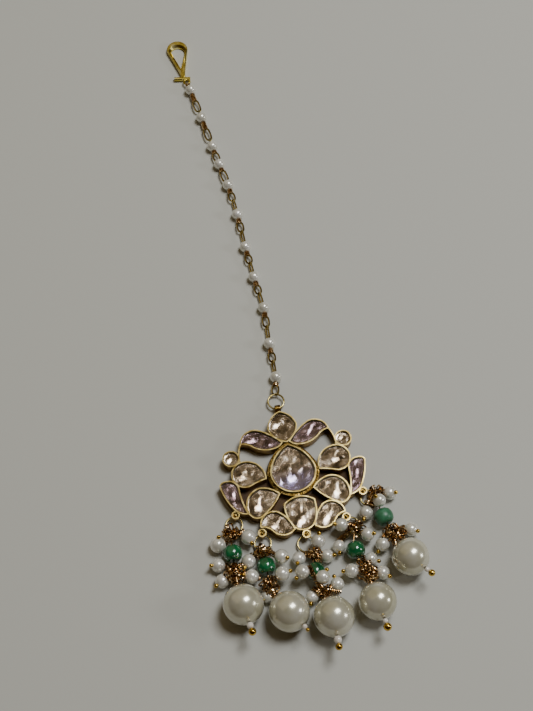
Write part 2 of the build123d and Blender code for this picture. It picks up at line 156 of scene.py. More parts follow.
# cast brass with a gold plating, as it left the bath on the walls: a little rough and uneven, its olive gold
# darkened as painted shade for walls that face away from the light
plating = patterned("gold_plated_brass_painted_shade", {"Metallic": 1.0}, ["#5f430f", "#93702a", "#b8984e"], 1.6,
                    (0.24, 0.4), (0.35, 0.02, 0.3))
# the thin rolled rim of a bezel, burnished over the stone: the smoothest gold, painted palest as a highlight
# on tops that face the light
rimGoldWithHighlight = patterned("burnished_rim_gold_painted_highlight", {"Metallic": 1.0}, ["#a48b48", "#d6c283"], 1.2,
                    (0.16, 0.3), (0.5, 0.015, 0.2))
# twisted wire in brown gold with paler patches at random; the same dark gold on the rope's bed and the eyelet
# floors is painted shade in those recesses
ropeGoldAndRecessShade = patterned("twisted_gold_wire_and_recess_shade", {"Metallic": 1.0}, ["#463210", "#7a5f28", "#bb9e5c"], 0.5,
                     (0.2, 0.36))
# the back sheet and solder between the cups, never polished and blotched by the torch; its near black brown
# is painted shade, for the deep shadow low in the openings
solderPaintedShade = patterned("torch_stained_solder_painted_shade", {"Metallic": 0.4}, ["#2c1c07", "#483010", "#5c431a"], 1.1,
                       (0.5, 0.7), (0.4, 0.03, 0.4))
# shellac lac that holds a stone in its cup, smeared by the tool: a thin dark line inside the rim, which also
# stands in as painted shade under the rim
lacAndRimShade = patterned("dark_shellac_lac_and_rim_shade", {"Coat Weight": 0.3, "Coat Roughness": 0.2},
                    ["#35240f", "#59401f"], 0.8, (0.4, 0.6), (0.5, 0.03, 0.3))
# fine brass wire with a coppery flash, wound by hand: red-brown, with pale yellow-gold patches that are
# painted glints
wireCopper = patterned("coppery_brass_wire", {"Metallic": 1.0}, ["#6b4a2a", "#b08a58", "#f0dcb4"], 0.8,
                       (0.1, 0.22))
# drawn brass wire with gold plating, for the rings and links: pale gold, smooth
wireGold = patterned("gold_plated_wire", {"Metallic": 1.0}, ["#85743f", "#bba968", "#e6dca8"], 1.1,
                     (0.12, 0.24))
# small hollow balls in a strong yellow plating, hard polished
ballGold = patterned("bright_yellow_gold", {"Metallic": 1.0}, ["#b0862a", "#e6c45e"], 1.0, (0.1, 0.2))
# the hook's own heavier plating, worn satin by hair and pins: strong yellow with soft waves
hookGold = patterned("worn_yellow_gold_plating", {"Metallic": 1.0}, ["#b09a36", "#e0cc62", "#f6ecac"], 2.0,
                     (0.2, 0.34), (1.4, 0.1, 0.5))
# glass pearls in a nacre lacquer: a soft cream body, a wet clear coat and a silky metallic sheen under it
pearlLacquer = patterned("nacre_lacquered_glass_pearl",
                         {"Metallic": 0.4, "Coat Weight": 1.0, "Coat Roughness": 0.085, "Coat IOR": 1.6,
                          "IOR": 1.6},
                         ["#bdb99a", "#cecab1", "#dbd8c6"], 4.0, (0.2, 0.26), (0.6, 0.008, 0.1))
# the small pearls carry a thinner and whiter nacre
smallPearlLacquer = patterned("white_nacre_lacquer",
                              {"Metallic": 0.3, "Coat Weight": 1.0, "Coat Roughness": 0.06, "Coat IOR": 1.9,
                               "IOR": 1.6},
                              ["#d3d1bf", "#e6e4d7", "#f0eee5"], 2.5, (0.22, 0.3), (0.5, 0.01, 0.15))
# tiny clear-white seed beads
seedGlass = patterned("white_seed_bead_glass",
                      {"Coat Weight": 1.0, "Coat Roughness": 0.05, "Subsurface Weight": 0.3,
                       "Subsurface Scale": 0.001, "Subsurface Radius": (1.0, 0.95, 0.9)},
                      ["#d9cfc0", "#efe9df"], 0.8, (0.15, 0.25))
# dyed green quartz, cut and tumbled: cloudy emerald that light passes into
greenQuartz = patterned("green_quartz",
                        {"Transmission Weight": 0.2, "IOR": 1.55, "Coat Weight": 0.8, "Coat Roughness": 0.05},
                        ["#0a4a28", "#12683a", "#238552"], 2.2, (0.12, 0.22))
# the same quartz from another string, tumbled matt: paler and frosted
paleQuartz = patterned("tumbled_green_quartz",
                       {"Transmission Weight": 0.15, "IOR": 1.55, "Coat Weight": 0.15, "Coat Roughness": 0.3},
                       ["#205f3c", "#347650", "#4a8c66"], 1.8, (0.35, 0.5), (0.3, 0.03, 0.3))
# clear cut glass, which lets the foil show. Its hand-cut top is never quite flat.
glassWaves = {"grain": 1.5, "detail": 1.0, "depth": 0.03, "strength": 0.15}
stoneGlass, glassTree, glassShader = newMaterial("clear_cut_glass", {
    "Base Color": linear("#f4eef0"), "Roughness": 0.03, "IOR": 1.5, "Transmission Weight": 1.0})
waves = addNode(glassTree, "ShaderNodeTexNoise",
                values={"Scale": 1 / (glassWaves["grain"] * toMetres), "Detail": glassWaves["detail"]},
                links={"Vector": addNode(glassTree, "ShaderNodeTexCoord").outputs["Object"]})
handCut = addNode(glassTree, "ShaderNodeBump", links={"Height": waves.outputs["Fac"]},
                  values={"Strength": glassWaves["strength"], "Distance": glassWaves["depth"] * toMetres})
glassTree.links.new(handCut.outputs["Normal"], glassShader.inputs["Normal"])
# tin foil pressed behind the glass, crinkled: blurred patches of brown and champagne, or of mauve
# in the long stones
champagneColours = ["#584b37", "#a2957c", "#e2d9c9"]
foilColours = {
    "champagne": ("champagne_foil", champagneColours),
    "mauve": ("mauve_foil", ["#4e3f40", "#8b787c", "#cbbac2"]),
    "lilac": ("champagne_to_lilac_foil", champagneColours),
}
foils = {tint: patterned(name, {"Metallic": 1.0}, colours, 1.9, (0.1, 0.22), detail=2.0)
         for tint, (name, colours) in foilColours.items()}
# the lilac comes in from the middle of the stone to its foot, from and to in mm
lilacTint = {"colour": "#9a96c4", "share": 0.75, "from": 1.0, "to": -3.0}
tree = foils["lilac"].node_tree
split = addNode(tree, "ShaderNodeSeparateXYZ",
                links={"Vector": tree.nodes["Texture Coordinate"].outputs["Object"]})
share = addNode(tree, "ShaderNodeMapRange", links={"Value": split.outputs["Y"]}, values={
    "From Min": lilacTint["from"] * toMetres, "From Max": lilacTint["to"] * toMetres,
    "To Max": lilacTint["share"]})
tinted = addNode(tree, "ShaderNodeMix", {"data_type": "RGBA", "blend_type": "MIX"})
tinted.inputs["B"].default_value = linear(lilacTint["colour"])
tree.links.new(share.outputs["Result"], tinted.inputs["Factor"])
tree.links.new(tree.nodes["Color Ramp"].outputs["Color"], tinted.inputs["A"])
tree.links.new(tinted.outputs["Result"], tree.nodes["Principled BSDF"].inputs["Base Color"])
print("materials made")

# floor
floorSetup = {"halfSide": 1.2, "colour": "#c3c3ba", "roughness": 0.9}     # plain on purpose
floorMaterial = newMaterial("pale_floor", {
    "Base Color": linear(floorSetup["colour"]), "Roughness": floorSetup["roughness"]})[0]
floorMesh = bmesh.new()
bmesh.ops.create_grid(floorMesh, x_segments=1, y_segments=1, size=floorSetup["halfSide"])
floorData = bpy.data.meshes.new("floor")
floorMesh.to_mesh(floorData)
floorMesh.free()
floorData.materials.append(floorMaterial)
floor = bpy.data.objects.new("floor", floorData)
bpy.context.scene.collection.objects.link(floor)


# shared makers
makerSetup = {
    "joinWithin": 1e-7, "flatWithin": 1e-3,     # a node's doubles in m, its underside in mm
    "flatterThan": 2,                           # degrees, below which a node's faces are joined
    "softSharp": 45,                            # degrees, above which a piece's edges stay sharp
    "coilSteps": 12, "coilSides": 6, "wireSides": 8, "ringSteps": 28, "ringSides": 8,
    "bendShare": 0.5,                           # of a stretched ring's radius, where its sides begin to bend
    "widestTurn": 6,                            # radians, of the chance turns
}


def anyTurn():  # a chance turn, so that no two copies lie alike
    return random.random() * makerSetup["widestTurn"]


def direction(heading, rise=0.0):  # headings turn from -Y towards +X, a rise is over the floor
    turn, lift = math.radians(heading), math.radians(rise)
    return Vector((math.cos(lift) * math.sin(turn), -math.cos(lift) * math.cos(turn), math.sin(lift)))


def aim(place, way, turn=0.0, size=1.0):  # brings a shape's own Z to a way at a place
    return (Matrix.Translation(place) @ way.to_track_quat("Z", "Y").to_matrix().to_4x4()
            @ Matrix.Rotation(turn, 4, "Z") @ Matrix.Scale(size, 4))


def stamp(target, shape, matrix):  # adds a copy of a shape, turned and placed
    placed = shape.copy()
    placed.transform(matrix)
    target.from_mesh(placed)
    bpy.data.meshes.remove(placed)


def keepShape(name, bm):
    bmesh.ops.recalc_face_normals(bm, faces=bm.faces)
    shape = bpy.data.meshes.new(name)
    bm.to_mesh(shape)
    bm.free()
    return shape


def copyNode(name):  # a CAD node's mesh in mm, its loose triangles joined
    bm = bmesh.new()
    bm.from_mesh(nodes[name].data)
    bmesh.ops.remove_doubles(bm, verts=bm.verts, dist=makerSetup["joinWithin"])
    bmesh.ops.scale(bm, vec=(1 / toMetres,) * 3, verts=bm.verts)
    return bm


def flatCopy(name):  # the same, with its flat faces whole
    bm = copyNode(name)
    bmesh.ops.dissolve_limit(bm, angle_limit=math.radians(makerSetup["flatterThan"]),
                             verts=bm.verts, edges=bm.edges)
    return bm


def finishPiece(name, bm, materials, replaced=(), sharp=makerSetup["softSharp"]):
    bmesh.ops.scale(bm, vec=(toMetres,) * 3, verts=bm.verts)
    mesh = bpy.data.meshes.new(name)
    bm.to_mesh(mesh)
    bm.free()
    for material in materials if isinstance(materials, list) else [materials]:
        mesh.materials.append(material)
    mesh.shade_smooth()
    mesh.set_sharp_from_angle(angle=math.radians(sharp))
    piece = bpy.data.objects.new(name, mesh)
    bpy.context.scene.collection.objects.link(piece)
    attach(piece, "root")
    if replaced:
        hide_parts(*replaced)
    return piece


def roundEdges(piece, name, width, steps, sharperThan):  # rounds a finished piece's sharp edges
    rounding = piece.modifiers.new(name, "BEVEL")
    rounding.width = width * toMetres
    rounding.segments = steps
    rounding.limit_method = "ANGLE"
    rounding.angle_limit = math.radians(sharperThan)
    rounding.harden_normals = True


def drilledBall(radius, across, along):  # a round bead with a bore along its own Z
    bm = bmesh.new()
    bmesh.ops.create_uvsphere(bm, u_segments=across, v_segments=along, radius=radius)
    bmesh.ops.delete(bm, geom=[v for v in bm.verts if len(v.link_edges) == across], context="VERTS")
    bmesh.ops.bridge_loops(bm, edges=[e for e in bm.edges if e.is_boundary])
    return keepShape("drilledBall", bm)


def wireRing(radius, wire, around=makerSetup["ringSteps"], section=makerSetup["ringSides"], stretch=1.0):
    # a ring in its own XY, longer along X when stretched
    bm = bmesh.new()
    bmesh.ops.create_circle(bm, segments=section, radius=wire,
                            matrix=Matrix.Translation((radius, 0, 0)) @ Matrix.Rotation(math.pi / 2, 4, "X"))
    bmesh.ops.spin(bm, geom=bm.verts[:] + bm.edges[:], cent=(0, 0, 0), axis=(0, 0, 1),
                   angle=2 * math.pi, steps=around, use_merge=True)
    for v in bm.verts:  # pull the two halves apart, so the wire keeps its thickness
        share = min(1, abs(v.co.x) / (radius * makerSetup["bendShare"]))
        v.co.x += math.copysign(radius * (stretch - 1), v.co.x) * share
    return keepShape("wireRing", bm)


def straightWire(target, start, end, wire):
    run = end - start
    bmesh.ops.create_cone(target, cap_ends=True, segments=makerSetup["wireSides"], radius1=wire, radius2=wire,
                          depth=run.length, matrix=aim((start + end) / 2, run))


def coiledWire(target, start, way, length, radius, wire, turn, pitch):  # a winding from a place along a way
    perTurn = makerSetup["coilSteps"]
    steps = max(perTurn, round(length / pitch * perTurn))
    bm = bmesh.new()
    bmesh.ops.create_circle(bm, cap_ends=True, segments=makerSetup["coilSides"], radius=wire,
                            matrix=Matrix.Translation((radius, 0, 0)) @ Matrix.Rotation(math.pi / 2, 4, "X"))
    bmesh.ops.spin(bm, geom=bm.verts[:] + bm.edges[:] + bm.faces[:], cent=(0, 0, 0), axis=(0, 0, 1),
                   dvec=(0, 0, length / steps), angle=2 * math.pi * steps / perTurn, steps=steps)
    shape = keepShape("coil", bm)
    stamp(target, shape, aim(start, way, turn))
    bpy.data.meshes.remove(shape)


def outlineOf(name):  # the ordered outline of a node's flat underside, in mm
    bm = copyNode(name)
    lowest = min(v.co.z for v in bm.verts)
    over = [f for f in bm.faces if any(abs(v.co.z - lowest) >= makerSetup["flatWithin"] for v in f.verts)]
    bmesh.ops.delete(bm, geom=over, context="FACES")
    bmesh.ops.dissolve_faces(bm, faces=bm.faces)
    bmesh.ops.reverse_faces(bm, faces=bm.faces)
    points = [v.co.copy() for v in bm.faces[:][0].verts]
    bm.free()
    return points


# the pendant's metal: rims rounded with a small bevel
frameSetup = {
    "rimRound": 0.135, "roundSteps": 3, "sharperThan": 50, "sharp": 35,
    "level": 0.9, "paleRimOver": 2.4, "shadedUnder": 1.0,     # which faces lie level, and at what heights
}
bm = flatCopy("pendant_frame")
# tops of the walls burnished and painted pale as highlight, back sheet painted near black as shade, rope's
# bed and eyelet floors painted dark as shade, walls plated and painted darker as shade
for face in bm.faces:
    height = face.calc_center_median().z
    upwards = face.normal.z > frameSetup["level"]
    # painted highlight: upward faces near the top take the pale rim gold
    if upwards and height > frameSetup["paleRimOver"]:
        face.material_index = 1
    # painted shade: level faces low down take the near black solder
    elif abs(face.normal.z) > frameSetup["level"] and height < frameSetup["shadedUnder"]:
        face.material_index = 2
    # painted shade: upward faces lower in the recesses, the rope's bed and eyelet floors, take the dark rope
    # gold
    elif upwards:
        face.material_index = 3
pendantMetal = finishPiece("pendant_metal", bm, [plating, rimGoldWithHighlight, solderPaintedShade, ropeGoldAndRecessShade],
                           ["pendant_frame"], sharp=frameSetup["sharp"])
roundEdges(pendantMetal, "rounded_rims", frameSetup["rimRound"], frameSetup["roundSteps"],
           frameSetup["sharperThan"])
print("pendant metal made")

# the twisted rope round the centre bezel: short slanting strands, one after another
ropeSetup = {
    "out": 0.64, "height": 2.33, "pitch": 0.5, "slant": 42,
    "strand": (0.4, 0.16, 0.24), "roundness": 2,     # a strand's half sizes
}
outline = outlineOf("stone_centre")
bm = bmesh.new()
bmesh.ops.create_icosphere(bm, subdivisions=ropeSetup["roundness"], radius=1)
bmesh.ops.scale(bm, vec=ropeSetup["strand"], verts=bm.verts)
strand = keepShape("strand", bm)
steps = [(end - start).length for start, end in zip(outline, outline[1:] + outline[:1])]
around = sum(steps)
count = round(around / ropeSetup["pitch"])
bm = bmesh.new()
for index in range(count):
    left = index * around / count
    for start, end, step in zip(outline, outline[1:] + outline[:1], steps):
        if left <= step:
            break
        left -= step
    along = (end - start).normalized()
    outwards = Vector((along.y, -along.x, 0))
    spot = start.lerp(end, left / step) + outwards * ropeSetup["out"]
    spot.z = ropeSetup["height"]
    heading = math.atan2(along.y, along.x) + math.radians(ropeSetup["slant"])
    stamp(bm, strand, Matrix.Translation(spot) @ Matrix.Rotation(heading, 4, "Z"))
finishPiece("centre_rope", bm, ropeGoldAndRecessShade)
print("rope made,", count, "strands")

# the stones: cut glass over crinkled foil. The foil is a shallow dish that mirrors the dim far
# wall; in a few spots it leans over and mirrors the window, which gives each stone its glints.
foilSetup = {
    "height": 2.2, "dish": 0.0015, "lacDrop": 0.26, "rings": 26, "clearance": 0.99, "core": 0.02, "sharp": 40,
    "crinkle": 0.026, "grain": 0.62, "octaves": 2, "apart": 3,
    "lean": (0.08, -0.05),       # the tilt that mirrors the window to the eye
    "rest": (-0.014, 0.008),     # the tilt of all the rest, away from it
    "restShift": -0.0012,        # and how that tilt changes for each mm to the right
}
# for each stone: its tint, and its glints as place from the middle, half length and width, turn and strength
foilPlans = {
    "stone_centre": ("lilac", [((-0.8, -1.9), (1.4, 0.8), -30, 1.1), ((-0.5, 0.9), (0.6, 1.4), -20, 0.55),
                               ((2.2, 0.3), (1.0, 0.35), 25, 0.9), ((-3.2, -1.6), (0.4, 0.9), 0, 0.7)]),
    "stone_crown": ("champagne", [((-1.5, 0.1), (0.8, 0.7), -20, 1.1), ((0.4, 1.0), (0.4, 0.8), 10, 0.5)]),
    "stone_shield": ("champagne", [((0.0, -1.8), (1.2, 0.8), 0, 1.1), ((0.1, 0.5), (0.35, 1.1), 5, 0.5)]),
    "stone_leaf_left": ("mauve", [((-1.9, 0.5), (1.2, 0.45), -15, 1.0), ((2.6, -1.2), (0.9, 0.4), -20, 0.7)]),
    "stone_leaf_right": ("mauve", [((0.5, 0.9), (1.1, 0.5), 42, 1.0)]),
    "stone_round_left": ("champagne", [((-0.3, -0.2), (0.6, 0.5), -20, 1.1)]),
    "stone_round_right": ("champagne", [((-0.4, 0.2), (0.5, 0.45), -20, 1.1),
                                        ((0.8, -0.5), (0.4, 0.3), 0, 0.8)]),
    "stone_shoulder_left": ("champagne", [((-1.2, -0.7), (1.0, 0.7), -20, 1.1),
                                          ((0.2, 0.4), (0.4, 0.7), 20, 0.5)]),
    "stone_shoulder_right": ("champagne", [((-0.2, -0.6), (1.2, 0.5), -10, 1.1),
                                           ((0.3, 1.0), (0.4, 0.7), -10, 0.5)]),
    "stone_wing_left": ("mauve", [((0.2, -0.6), (0.45, 1.1), 12, 1.1)]),
    "stone_wing_right": ("mauve", [((0.0, -0.5), (0.4, 0.9), -10, 1.0), ((0.0, 1.7), (0.35, 0.5), 0, 0.7)]),
    "stone_drop_left": ("champagne", [((-0.3, -1.2), (1.1, 0.8), -40, 1.1),
                                      ((0.3, 0.8), (0.4, 1.2), -10, 0.6)]),
    "stone_drop_right": ("champagne", [((0.0, -1.1), (0.9, 0.8), -40, 1.1),
                                       ((0.3, 0.8), (0.4, 0.8), -10, 0.5)]),
    "stone_foot_left": ("champagne", [((-0.4, -0.6), (1.0, 0.5), -25, 0.8),
                                      ((0.6, 0.8), (0.4, 0.6), 0, 0.5)]),
    "stone_foot_right": ("champagne", [((-0.8, -0.9), (0.8, 0.7), -30, 1.0),
                                       ((0.4, 0.7), (0.35, 0.8), -30, 0.5)]),
}
for name, (tint, glints) in foilPlans.items():
    nodes[name].data.materials.clear()
    nodes[name].data.materials.append(stoneGlass)
    outline = outlineOf(name)
    middle = sum(outline, Vector()) / len(outline)
    bm = bmesh.new()
    rim = [bm.verts.new(point) for point in outline]
    loop = [bm.edges.new((start, end)) for start, end in zip(rim, rim[1:] + rim[:1])]
    bmesh.ops.scale(bm, vec=(foilSetup["clearance"], foilSetup["clearance"], 1),
                    space=Matrix.Translation(-middle), verts=rim)
    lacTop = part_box(name)[1].z / toMetres - foilSetup["lacDrop"]
    wall = bmesh.ops.extrude_edge_only(bm, edges=loop)["geom"]
    loop = [part for part in wall if isinstance(part, bmesh.types.BMEdge)]
    for ring in range(foilSetup["rings"], 0, -1):
        made = bmesh.ops.extrude_edge_only(bm, edges=loop)["geom"]
        inner = [part for part in made if isinstance(part, bmesh.types.BMVert)]
        loop = [part for part in made if isinstance(part, bmesh.types.BMEdge)]
        inwards = (ring - 1 + foilSetup["core"]) / (ring + foilSetup["core"])
        bmesh.ops.scale(bm, vec=(inwards,) * 3, space=Matrix.Translation(-middle), verts=inner)
    bmesh.ops.pointmerge(bm, verts=inner, merge_co=middle)
    seed = Vector((len(name), middle.x * foilSetup["apart"], middle.y))  # every stone has its own crinkles
    rest = Vector(foilSetup["rest"]) + Vector((foilSetup["restShift"] * middle.x, 0))
    for v in bm.verts:
        flat = (v.co - middle).xy
        crinkles = noise.turbulence(v.co * foilSetup["grain"] + seed, foilSetup["octaves"], False,
                                    noise_basis="PERLIN_NEW")
        v.co.z = (foilSetup["height"] + foilSetup["dish"] * flat.length_squared
                  - foilSetup["crinkle"] * crinkles)
        v.co.z -= flat.dot(rest)
        for place, (length, width), turn, strength in glints:
            away = flat - Vector(place)
            spot = Matrix.Rotation(math.radians(-turn), 2) @ away
            fade = math.exp(-((spot.x / length) ** 2 + (spot.y / width) ** 2) / 2)
            v.co.z -= strength * fade * away.dot(Vector(foilSetup["lean"]))
    for v in rim:
        v.co.z = lacTop
    bmesh.ops.recalc_face_normals(bm, faces=bm.faces)
    if sum(face.normal.z for face in bm.faces) < 0:
        bmesh.ops.reverse_faces(bm, faces=bm.faces)
    # faces at the rim take the lac: a dark band that is partly lac and partly painted shade
    for face in bm.faces:
        face.material_index = int(any(v in rim for v in face.verts))
    finishPiece(name.replace("stone", "foil"), bm, [foils[tint], lacAndRimShade],
                sharp=foilSetup["sharp"])
print("stones and foils made")

# the drops: a jump ring on the eyelet, a knot of wound wire and small pearls, a green bead,
# a second knot, and a big pearl on a headed pin with a seed bead under it
dropSetup = {
    "ringRadius": 1.88, "ringWire": 0.225, "ringHeight": 0.95, "ringSteps": 48, "ringSides": 10,
    "loopRadius": 0.65, "loopWire": 0.18, "linkRadius": 0.48, "pinWire": 0.16,
    "rondelleHalf": 1.7, "linkGap": 0.28, "pinGap": 0.3,
    "coilRadius": 0.6, "coilWire": 0.17, "coilPitch": 0.46, "coilStretch": (0.85, 1.3), "floorGap": 0.05,
    # how far each winding stops short of its knot, and the least length that it has
    "dangleCoil": (0.75, 0.5), "hangCoil": (0.9, 0.6), "footCoil": (0.8, 0.7),
    "smallBall": 0.47, "ballSunk": 0.6, "bendGap": 0.25,
    "pearlGap": 0.2, "seedGap": 0.05, "endBallSunk": 0.9, "snug": 0.97,
    "smallPearlSteps": (32, 22), "bigPearlSteps": (64, 44), "ballRoundness": 3,
}
curlSetup = {
    "radii": (0.62, 0.78, 0.95), "turns": (2.2, 1.6, 1.2), "pitch": 0.52, "wire": 0.19,
    "perMm": 1.15, "spread": 0.8, "lift": 1.4, "doming": 0.8, "lowest": 1.36,
    "spiral": 2.4, "stray": 0.3, "rise": 0.6,
}
# eyelet, ring heading, knots, bead and pearl; the masses of wire curls as middle, half sizes and turn;
# the small pearls as x, y, z, radius, heading and rise of the pin
drops = {
    "a": {
        "eyelet": (-14.8, -7.9), "ring": -22, "knot": (-16.95, -12.7, 2.3), "rondelle": (-17.1, -16.6, 2.7),
        "foot": (-17.5, -21.0, 3.0), "pearl": (-17.05, -28.85, 4.5), "radius": 4.5, "tip": (6, 16),
        "upperMass": [((-16.5, -11.7, 2.1), (2.2, 1.5), 5)],
        "lowerMass": [((-17.5, -21.4, 3.0), (2.2, 2.4), 0)],
        "seedRadius": 0.78, "endBall": 0.9,
        "upper": [(-19.95, -13.75, 1.85, 1.8, 161, 50), (-12.95, -13.45, 2.35, 1.75, 15, 23)],
        "lower": [(-20.75, -18.3, 1.65, 1.62, -88, 35), (-20.5, -22.0, 1.65, 1.62, -59, 17),
                  (-14.0, -19.15, 3.0, 1.62, -41, 16), (-13.95, -22.7, 3.15, 1.62, -112, 6)],
    },
    "b": {
        "eyelet": (-9.7, -13.2), "ring": -8, "knot": (-10.2, -16.6, 2.3), "rondelle": (-10.35, -20.9, 2.5),
        "foot": (-10.4, -25.15, 3.0), "pearl": (-7.6, -32.3, 4.5), "radius": 4.5, "tip": (30, 18),
        "upperMass": [((-10.5, -17.3, 2.2), (2.1, 1.8), -10)],
        "lowerMass": [((-10.6, -25.8, 3.0), (1.5, 2.8), 20)],
        "seedRadius": 0.6, "endBall": 0.45,
        "upper": [(-6.7, -19.85, 4.1, 1.65, 52, 42)],
        "lower": [(-7.35, -23.65, 4.0, 1.65, 96, 6), (-11.2, -27.3, 1.55, 1.55, -59, 15)],
    },
    "c": {
        "eyelet": (0, -15.35), "ring": -14, "knot": (0.45, -20.1, 2.3), "rondelle": (0.15, -24.15, 2.3),
        "foot": (0.5, -28.5, 3.2), "pearl": (1.66, -35.35, 4.5), "radius": 4.5, "tip": (-5, 14),
        "upperMass": [((1.1, -20.6, 2.3), (1.6, 1.7), 0)], "lowerMass": [((0.6, -29.0, 3.2), (2.6, 1.3), -8)],
        "seedRadius": 0.9, "endBall": 0.82,
        "upper": [(-2.85, -20.5, 2.2, 1.55, -26, 37), (2.1, -17.7, 3.2, 1.6, 160, 42),
                  (3.45, -21.0, 1.65, 1.55, 77, 29)],
        "lower": [(-2.95, -24.3, 4.65, 1.6, -58, -16), (1.15, -26.5, 5.25, 1.55, 139, 15),
                  (4.1, -28.1, 3.0, 1.55, -169, 13), (-1.85, -29.6, 2.2, 1.45, -21, 18)],
    },
    "d": {
        "eyelet": (9.7, -13.2), "ring": 24, "knot": (10.95, -16.3, 2.3), "rondelle": (9.9, -21.25, 2.7),
        "foot": (11.2, -26.4, 3.2), "pearl": (11.75, -33.85, 4.2), "radius": 4.2, "tip": (5, 12),
        "upperMass": [((11.2, -16.0, 2.4), (2.1, 1.7), -20)],
        "lowerMass": [((11.4, -26.8, 3.1), (2.0, 2.6), 15)],
        "seedRadius": 0.6, "endBall": 0.95,
        "upper": [(8.0, -15.1, 3.4, 1.55, -96, 33), (13.35, -18.2, 2.6, 1.55, 72, 41),
                  (6.6, -19.45, 1.65, 1.5, -9, 21)],
        "lower": [(7.9, -25.75, 3.0, 1.6, -99, -5), (12.9, -23.7, 1.8, 1.55, 60, 10),
                  (14.7, -27.35, 2.2, 1.55, 44, 20)],
    },
    "e": {
        "eyelet": (14.8, -7.9), "ring": 38, "knot": (17.1, -10.3, 2.3), "rondelle": (18.0, -14.9, 2.5),
        "foot": (18.8, -19.1, 3.0), "pearl": (21.25, -25.6, 4.2), "radius": 4.2, "tip": (34, 16),
        "upperMass": [((17.7, -8.5, 2.0), (2.1, 1.1), 0), ((16.3, -10.9, 2.4), (1.9, 1.3), 0)],
        "lowerMass": [((19.2, -19.2, 2.9), (2.8, 2.2), -10)],
        "seedRadius": 0.6, "endBall": 0.8,
        "upper": [(20.8, -9.35, 1.65, 1.6, 64, 45), (17.6, -11.5, 4.4, 1.5, -129, 55),
                  (14.35, -12.95, 2.0, 1.6, -30, 16)],
        "lower": [(16.2, -21.0, 2.2, 1.6, -45, -18), (23.45, -18.75, 1.65, 1.6, 50, 35)],
    },
}
smallPearl = drilledBall(1, *dropSetup["smallPearlSteps"])
bigPearl = drilledBall(1, *dropSetup["bigPearlSteps"])
curls = []
for radius, turns in zip(curlSetup["radii"], curlSetup["turns"]):
    bm = bmesh.new()
    height = turns * curlSetup["pitch"]
    coiledWire(bm, Vector((0, 0, -height / 2)), Vector((0, 0, 1)), height, radius, curlSetup["wire"], 0,
               curlSetup["pitch"])
    curls.append(keepShape("curl", bm))
jumpRing = wireRing(dropSetup["ringRadius"], dropSetup["ringWire"], dropSetup["ringSteps"],
                    dropSetup["ringSides"])
hangLoop = wireRing(dropSetup["loopRadius"], dropSetup["loopWire"])
linkLoop = wireRing(dropSetup["linkRadius"], dropSetup["loopWire"])
bm = bmesh.new()
bmesh.ops.create_icosphere(bm, subdivisions=dropSetup["ballRoundness"], radius=1)
goldBall = keepShape("goldBall", bm)

# the green bead: bands of three-cornered facets round a flat table at each end. Those of two drops
# are tumbled nearly smooth, and one of them is of the paler quartz.
beadSetup = {
    "sides": 12, "bore": 0.34, "tumbled": "de", "pale": "e", "tumbledSharp": 60, "cutSharp": 22,
    "rows": [(1.3, -1.68), (1.88, -1.2), (2.16, -0.42), (2.16, 0.42), (1.88, 1.2), (1.3, 1.68)],
}
bm = bmesh.new()
lowest, highest = beadSetup["rows"][0][1], beadSetup["rows"][-1][1]
rows = [(beadSetup["bore"], lowest), *beadSetup["rows"], (beadSetup["bore"], highest)]
loops = []
for index, (radius, height) in enumerate(rows):
    halfStep = math.pi / beadSetup["sides"] * (index % 2)
    placed = Matrix.Translation((0, 0, height)) @ Matrix.Rotation(halfStep, 4, "Z")
    made = bmesh.ops.create_circle(bm, segments=beadSetup["sides"], radius=radius, matrix=placed)
    loops.append([e for e in bm.edges if all(v in set(made["verts"]) for v in e.verts)])
for lower, upper in zip(loops, loops[1:] + loops[:1]):
    bmesh.ops.bridge_loops(bm, edges=lower + upper)
bmesh.ops.triangulate(bm, faces=bm.faces)
rondelle = keepShape("rondelle", bm)


def windPin(wires, start, way, run, coil, turn=0, stretch=1):  # the end of a pin, wound round itself
    short, least = dropSetup[coil]
    coiledWire(wires, start, way, max(least, run - short), dropSetup["coilRadius"], dropSetup["coilWire"],
               turn, dropSetup["coilPitch"] * stretch)


def dangles(wires, balls, pearls, rows, knot):
    # each small pearl hangs on a headed pin, wound round itself up to the knot
    for x, y, z, radius, heading, rise in rows:
        middle, outwards = Vector((x, y, z)), direction(heading, rise)
        head = middle + outwards * (radius + dropSetup["smallBall"] * dropSetup["ballSunk"])
        bend = middle - outwards * (radius + dropSetup["bendGap"])
        bend.z = max(bend.z, dropSetup["coilRadius"] + dropSetup["coilWire"] + dropSetup["floorGap"])
        inwards = knot - bend
        stamp(pearls, smallPearl, aim(middle, outwards, anyTurn(), radius))
        stamp(balls, goldBall, aim(head, outwards, 0, dropSetup["smallBall"]))
        straightWire(wires, head, bend, dropSetup["pinWire"])
        straightWire(wires, bend, knot, dropSetup["pinWire"])
        windPin(wires, bend, inwards, inwards.length, "dangleCoil", anyTurn(),
                random.uniform(*dropSetup["coilStretch"]))


def curlMass(wires, middle, across, along, turn):
    # the loose ends of the pins, sprung into curls that lie every way round the knot
    count = round(curlSetup["perMm"] * math.pi * across * along)
    for index in range(count):
        # even steps round a sunflower spiral, each moved a little
        out = math.sqrt((index + 0.5) / count)
        around = index * curlSetup["spiral"] + random.uniform(-curlSetup["stray"], curlSetup["stray"])
        place = Vector((across * out * math.cos(around), along * out * math.sin(around), 0))
        place *= curlSetup["spread"]
        place.rotate(Matrix.Rotation(math.radians(turn), 3, "Z"))
        place.z = random.uniform(-1, 1) * curlSetup["lift"] * math.sqrt(1 - out ** 2 * curlSetup["doming"])
        place += Vector(middle)
        place.z = max(place.z, curlSetup["lowest"])
        way = Vector((random.gauss(0, 1), random.gauss(0, 1), random.gauss(0, curlSetup["rise"])))
        stamp(wires, curls[index % len(curls)], aim(place, way, anyTurn()))


